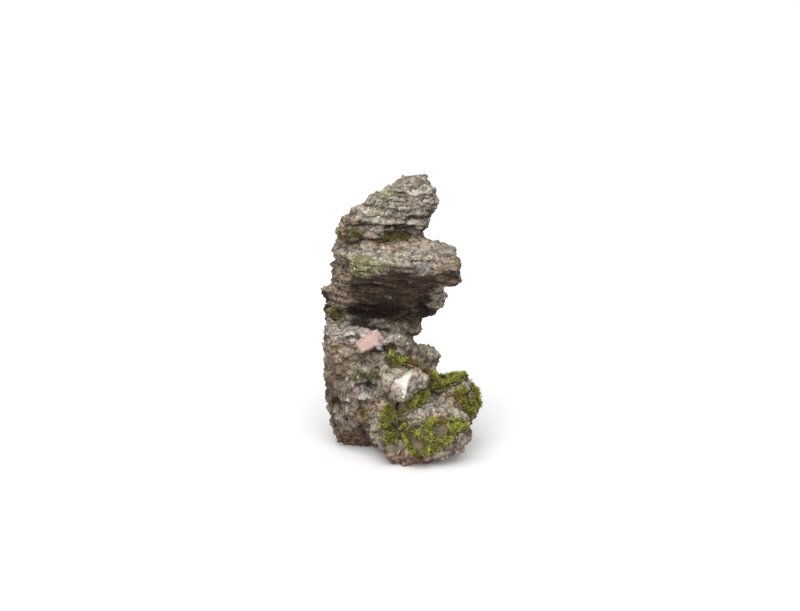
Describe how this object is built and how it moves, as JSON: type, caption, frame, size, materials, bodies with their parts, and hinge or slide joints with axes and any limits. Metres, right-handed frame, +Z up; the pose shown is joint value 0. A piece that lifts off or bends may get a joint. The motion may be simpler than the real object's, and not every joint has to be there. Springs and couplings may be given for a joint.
{
  "type": "ibigawa rock",
  "caption": "Weathered layered stone with an overhanging shelf, rubble of clasts below and cushions of moss, standing on flat feet.",
  "frame": {"origin": "on the ground, under the middle of the object's bounding box", "axes": "+Z up, -Y towards the viewer of the picture, +X to the viewer's right"},
  "size_m": [0.1462, 0.1328, 0.251],
  "materials": {
    "stone": "rough weathered conglomerate, grey-brown with light clasts and a lichen tint",
    "moss": "soft living moss, lime to dark green"
  },
  "bodies": {
    "root": {"rock": "stone", "moss_band": "moss", "moss_block": "moss", "moss_crease": "moss", "moss_crown_left": "moss", "moss_crown_right": "moss", "moss_leg": "moss", "moss_lump": "moss", "moss_nub": "moss", "moss_saddle": "moss", "moss_toe": "moss"}
  },
  "joints": []
}
